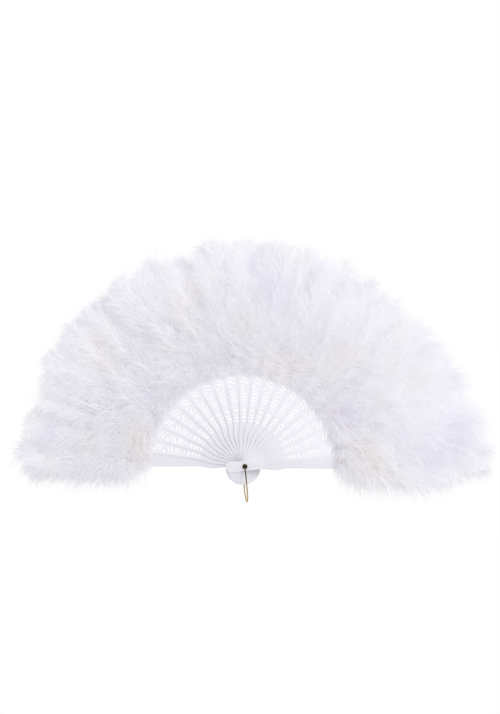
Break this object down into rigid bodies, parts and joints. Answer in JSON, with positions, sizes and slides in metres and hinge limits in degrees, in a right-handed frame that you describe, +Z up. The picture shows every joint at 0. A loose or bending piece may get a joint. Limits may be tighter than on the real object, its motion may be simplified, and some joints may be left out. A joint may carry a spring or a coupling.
{
  "type": "feather fan",
  "caption": "Folding feather fan: pierced white sticks that turn on one rivet, each with a fluffy marabou plume, linked by a ribbon, with a hanging wire bail. Opens to a half circle.",
  "frame": {"origin": "on the rivet's axis, at the middle of the stack of sticks, where a hand holds the fan", "axes": "+X to the viewer's right across the open fan, +Z up along the middle stick, front of the fan towards -Y"},
  "size_m": [0.5508, 0.0528, 0.3034],
  "materials": {
    "stick_plastic": "satin",
    "guard_plastic": "satin",
    "marabou_down": "matte",
    "satin_ribbon": "satin",
    "dark_rivet": "polished",
    "brass_wire": "polished"
  },
  "bodies": {
    "rear_guard": {"rear_guard": "guard_plastic", "rear_guard_plume": "marabou_down", "linking_ribbon": "satin_ribbon", "rivet": "dark_rivet"},
    "stick_01": {"pierced_stick_01": "stick_plastic", "plume_01": "marabou_down"},
    "stick_02": {"pierced_stick_02": "stick_plastic", "plume_02": "marabou_down"},
    "stick_03": {"pierced_stick_03": "stick_plastic", "plume_03": "marabou_down"},
    "stick_04": {"pierced_stick_04": "stick_plastic", "plume_04": "marabou_down"},
    "stick_05": {"pierced_stick_05": "stick_plastic", "plume_05": "marabou_down"},
    "stick_06": {"pierced_stick_06": "stick_plastic", "plume_06": "marabou_down"},
    "stick_07": {"pierced_stick_07": "stick_plastic", "plume_07": "marabou_down"},
    "stick_08": {"pierced_stick_08": "stick_plastic", "plume_08": "marabou_down"},
    "stick_09": {"pierced_stick_09": "stick_plastic", "plume_09": "marabou_down"},
    "stick_10": {"pierced_stick_10": "stick_plastic", "plume_10": "marabou_down"},
    "stick_11": {"pierced_stick_11": "stick_plastic", "plume_11": "marabou_down"},
    "stick_12": {"pierced_stick_12": "stick_plastic", "plume_12": "marabou_down"},
    "stick_13": {"pierced_stick_13": "stick_plastic", "plume_13": "marabou_down"},
    "stick_14": {"pierced_stick_14": "stick_plastic", "plume_14": "marabou_down"},
    "stick_15": {"pierced_stick_15": "stick_plastic", "plume_15": "marabou_down"},
    "stick_16": {"pierced_stick_16": "stick_plastic", "plume_16": "marabou_down"},
    "stick_17": {"pierced_stick_17": "stick_plastic", "plume_17": "marabou_down"},
    "stick_18": {"pierced_stick_18": "stick_plastic", "plume_18": "marabou_down"},
    "stick_19": {"pierced_stick_19": "stick_plastic", "plume_19": "marabou_down"},
    "front_guard": {"front_guard": "guard_plastic", "front_guard_plume": "marabou_down"},
    "wire_bail": {"wire_bail": "brass_wire"}
  },
  "joints": [
    {"name": "front_guard_fold", "type": "hinge", "parent": "rear_guard", "child": "front_guard", "pos_m": [0, 0, 0], "axis": [0, -1, 0], "range_deg": [0, 174], "deforming": ["rear_guard_plume", "plume_01", "plume_02", "plume_03", "plume_04", "plume_05", "plume_06", "plume_07", "plume_08", "plume_09", "plume_10", "plume_11", "plume_12", "plume_13", "plume_14", "plume_15", "plume_16", "plume_17", "plume_18", "plume_19", "front_guard_plume", "linking_ribbon"]},
    {"name": "stick_01_fold", "type": "hinge", "parent": "rear_guard", "child": "stick_01", "pos_m": [0, 0, 0], "axis": [0, -1, 0], "range_deg": [0, 8.7]},
    {"name": "stick_02_fold", "type": "hinge", "parent": "rear_guard", "child": "stick_02", "pos_m": [0, 0, 0], "axis": [0, -1, 0], "range_deg": [0, 17.4]},
    {"name": "stick_03_fold", "type": "hinge", "parent": "rear_guard", "child": "stick_03", "pos_m": [0, 0, 0], "axis": [0, -1, 0], "range_deg": [0, 26.1]},
    {"name": "stick_04_fold", "type": "hinge", "parent": "rear_guard", "child": "stick_04", "pos_m": [0, 0, 0], "axis": [0, -1, 0], "range_deg": [0, 34.8]},
    {"name": "stick_05_fold", "type": "hinge", "parent": "rear_guard", "child": "stick_05", "pos_m": [0, 0, 0], "axis": [0, -1, 0], "range_deg": [0, 43.5]},
    {"name": "stick_06_fold", "type": "hinge", "parent": "rear_guard", "child": "stick_06", "pos_m": [0, 0, 0], "axis": [0, -1, 0], "range_deg": [0, 52.2]},
    {"name": "stick_07_fold", "type": "hinge", "parent": "rear_guard", "child": "stick_07", "pos_m": [0, 0, 0], "axis": [0, -1, 0], "range_deg": [0, 60.9]},
    {"name": "stick_08_fold", "type": "hinge", "parent": "rear_guard", "child": "stick_08", "pos_m": [0, 0, 0], "axis": [0, -1, 0], "range_deg": [0, 69.6]},
    {"name": "stick_09_fold", "type": "hinge", "parent": "rear_guard", "child": "stick_09", "pos_m": [0, 0, 0], "axis": [0, -1, 0], "range_deg": [0, 78.3]},
    {"name": "stick_10_fold", "type": "hinge", "parent": "rear_guard", "child": "stick_10", "pos_m": [0, 0, 0], "axis": [0, -1, 0], "range_deg": [0, 87]},
    {"name": "stick_11_fold", "type": "hinge", "parent": "rear_guard", "child": "stick_11", "pos_m": [0, 0, 0], "axis": [0, -1, 0], "range_deg": [0, 95.7]},
    {"name": "stick_12_fold", "type": "hinge", "parent": "rear_guard", "child": "stick_12", "pos_m": [0, 0, 0], "axis": [0, -1, 0], "range_deg": [0, 104.4]},
    {"name": "stick_13_fold", "type": "hinge", "parent": "rear_guard", "child": "stick_13", "pos_m": [0, 0, 0], "axis": [0, -1, 0], "range_deg": [0, 113.1]},
    {"name": "stick_14_fold", "type": "hinge", "parent": "rear_guard", "child": "stick_14", "pos_m": [0, 0, 0], "axis": [0, -1, 0], "range_deg": [0, 121.8]},
    {"name": "stick_15_fold", "type": "hinge", "parent": "rear_guard", "child": "stick_15", "pos_m": [0, 0, 0], "axis": [0, -1, 0], "range_deg": [0, 130.5]},
    {"name": "stick_16_fold", "type": "hinge", "parent": "rear_guard", "child": "stick_16", "pos_m": [0, 0, 0], "axis": [0, -1, 0], "range_deg": [0, 139.2]},
    {"name": "stick_17_fold", "type": "hinge", "parent": "rear_guard", "child": "stick_17", "pos_m": [0, 0, 0], "axis": [0, -1, 0], "range_deg": [0, 147.9]},
    {"name": "stick_18_fold", "type": "hinge", "parent": "rear_guard", "child": "stick_18", "pos_m": [0, 0, 0], "axis": [0, -1, 0], "range_deg": [0, 156.6]},
    {"name": "stick_19_fold", "type": "hinge", "parent": "rear_guard", "child": "stick_19", "pos_m": [0, 0, 0], "axis": [0, -1, 0], "range_deg": [0, 165.3]},
    {"name": "bail_swing", "type": "hinge", "parent": "rear_guard", "child": "wire_bail", "pos_m": [0, 0, 0], "axis": [0, -1, 0], "range_deg": [-76, 64]}
  ],
  "couplings": [
    {"joint": "stick_01_fold", "follows": "front_guard_fold", "ratio": 0.05},
    {"joint": "stick_02_fold", "follows": "front_guard_fold", "ratio": 0.1},
    {"joint": "stick_03_fold", "follows": "front_guard_fold", "ratio": 0.15},
    {"joint": "stick_04_fold", "follows": "front_guard_fold", "ratio": 0.2},
    {"joint": "stick_05_fold", "follows": "front_guard_fold", "ratio": 0.25},
    {"joint": "stick_06_fold", "follows": "front_guard_fold", "ratio": 0.3},
    {"joint": "stick_07_fold", "follows": "front_guard_fold", "ratio": 0.35},
    {"joint": "stick_08_fold", "follows": "front_guard_fold", "ratio": 0.4},
    {"joint": "stick_09_fold", "follows": "front_guard_fold", "ratio": 0.45},
    {"joint": "stick_10_fold", "follows": "front_guard_fold", "ratio": 0.5},
    {"joint": "stick_11_fold", "follows": "front_guard_fold", "ratio": 0.55},
    {"joint": "stick_12_fold", "follows": "front_guard_fold", "ratio": 0.6},
    {"joint": "stick_13_fold", "follows": "front_guard_fold", "ratio": 0.65},
    {"joint": "stick_14_fold", "follows": "front_guard_fold", "ratio": 0.7},
    {"joint": "stick_15_fold", "follows": "front_guard_fold", "ratio": 0.75},
    {"joint": "stick_16_fold", "follows": "front_guard_fold", "ratio": 0.8},
    {"joint": "stick_17_fold", "follows": "front_guard_fold", "ratio": 0.85},
    {"joint": "stick_18_fold", "follows": "front_guard_fold", "ratio": 0.9},
    {"joint": "stick_19_fold", "follows": "front_guard_fold", "ratio": 0.95}
  ]
}
